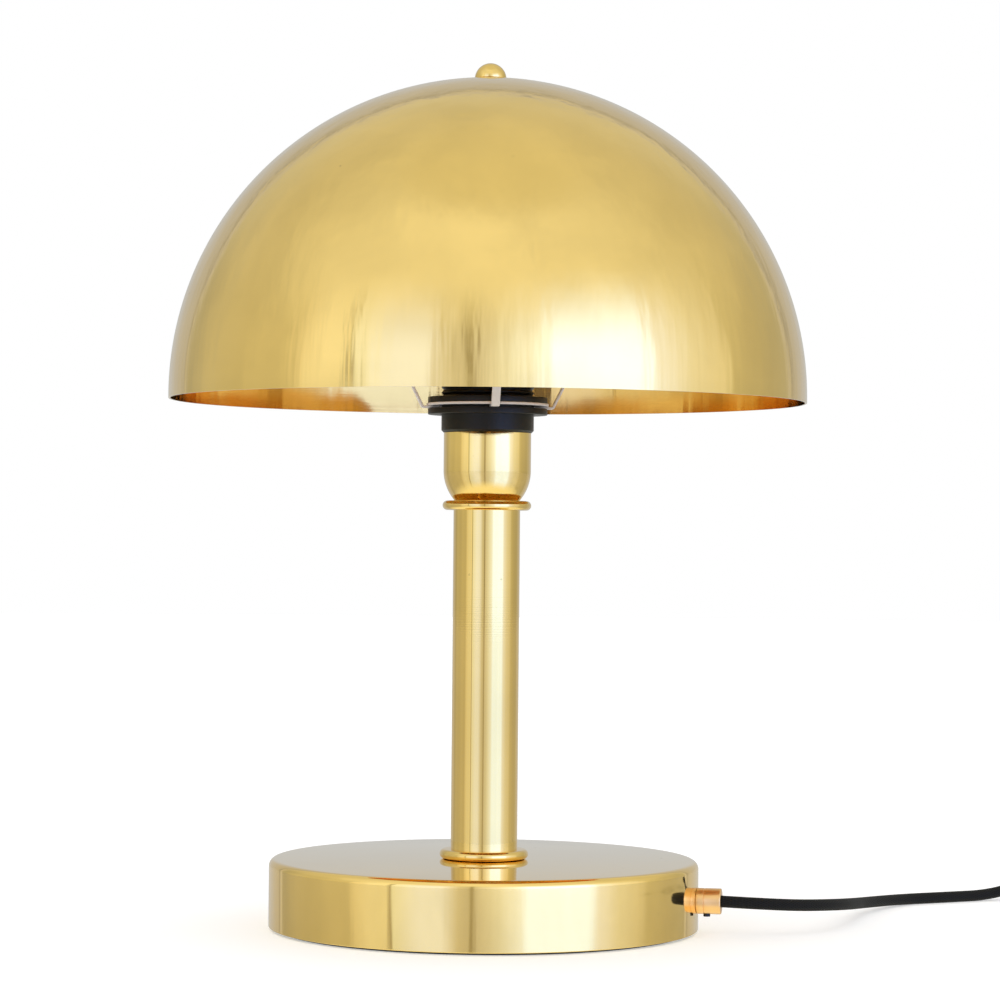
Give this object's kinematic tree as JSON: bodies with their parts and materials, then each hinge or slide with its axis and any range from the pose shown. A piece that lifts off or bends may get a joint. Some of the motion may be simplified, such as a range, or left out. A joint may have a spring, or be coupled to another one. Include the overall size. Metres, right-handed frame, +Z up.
{
  "type": "dome shade desk lamp",
  "caption": "Polished brass desk lamp with a half-ball shade on a wire carrier, a straight stem, a weighted round base and a textile cord with switch and plug.",
  "frame": {"origin": "on the stem's axis, on the surface that the lamp stands on", "axes": "+Z up along the stem, -Y towards the side the lamp is seen from, +X to the right, where the cord leaves"},
  "size_m": [0.5917, 0.3095, 0.4081],
  "materials": {
    "polished_brass": "polished and lacquered",
    "copper_brass": "turned and lacquered",
    "white_paint": "gloss",
    "black_moulding": "moulded phenolic",
    "ceramic": "unglazed",
    "plain_brass": "stamped",
    "zinc_steel": "zinc plated",
    "cast_iron": "rough",
    "felt": "felt",
    "fibre": "vulcanised fibre",
    "black_steel": "blackened",
    "opal_glass": "opal",
    "bulb_metal": "drawn",
    "black_glass": "glass",
    "black_cord": "braided textile",
    "live_insulation": "extruded",
    "neutral_insulation": "extruded",
    "black_plastic": "moulded",
    "rocker_plastic": "moulded",
    "plated_pins": "nickel plated"
  },
  "bodies": {
    "root": {"base_cover": "polished_brass", "lower_collar": "polished_brass", "stem_tube": "polished_brass", "upper_collar": "polished_brass", "lampholder_cup": "polished_brass", "cord_grip": "copper_brass", "carrier_ring": "white_paint", "carrier_hub": "white_paint", "carrier_arm_1": "white_paint", "carrier_arm_2": "white_paint", "carrier_arm_3": "white_paint", "carrier_arm_4": "white_paint", "lampholder_skirt": "black_moulding", "lower_shade_ring": "black_moulding", "upper_shade_ring": "black_moulding", "lampholder_insert": "ceramic", "screw_shell": "plain_brass", "centre_contact": "plain_brass", "terminal_screws": "plain_brass", "switch_blocks": "plain_brass", "switch_leaf": "plain_brass", "base_plate": "zinc_steel", "base_washer": "zinc_steel", "base_nut": "zinc_steel", "threaded_rod": "zinc_steel", "cup_washer": "zinc_steel", "cup_nut": "zinc_steel", "base_screws": "zinc_steel", "cord_grip_nut": "zinc_steel", "carrier_nut": "zinc_steel", "carrier_stud": "zinc_steel", "switch_screws": "zinc_steel", "switch_pin": "zinc_steel", "base_weight": "cast_iron", "felt_pad": "felt", "shade_seat": "fibre", "cord_grip_screw": "black_steel", "inner_lead": "black_cord", "cord_from_base": "black_cord", "cord_coil": "black_cord", "cord_to_coil": "black_cord", "cord_to_plug": "black_cord", "live_wire": "live_insulation", "neutral_wire": "neutral_insulation", "switch_base": "black_plastic", "switch_cover": "black_plastic", "plug_body": "black_plastic", "plug_sleeve": "black_plastic", "pin_sleeves": "black_plastic", "coil_tie": "black_plastic", "plug_pins": "plated_pins"},
    "shade": {"shade": "polished_brass"},
    "finial_washer": {"shade_washer": "polished_brass"},
    "finial": {"finial": "polished_brass"},
    "bulb": {"bulb_glass": "opal_glass", "bulb_cap": "bulb_metal", "bulb_insulator": "black_glass", "bulb_contact": "bulb_metal"},
    "switch_rocker": {"switch_rocker": "rocker_plastic"}
  },
  "joints": [
    {"name": "shade_lift", "type": "slide", "parent": "root", "child": "shade", "axis": [0, 0, 1], "range_m": [0, 0.165]},
    {"name": "finial_rise", "type": "slide", "parent": "shade", "child": "finial_washer", "axis": [0, 0, 1], "range_m": [0, 0.0051]},
    {"name": "finial_turn", "type": "hinge", "parent": "finial_washer", "child": "finial", "pos_m": [0, 0, 0.4], "axis": [0, 0, 1], "range_deg": [0, 1800]},
    {"name": "bulb_unscrew", "type": "slide", "parent": "root", "child": "bulb", "axis": [0, 0, 1], "range_m": [0, 0.03]},
    {"name": "rocker_press", "type": "hinge", "parent": "root", "child": "switch_rocker", "pos_m": [0.335, 0.147, 0.0126], "axis": [0, -1, 0], "range_deg": [0, 16]}
  ],
  "couplings": [
    {"joint": "finial_rise", "follows": "finial_turn", "m_per_rad": 0.00015915}
  ]
}
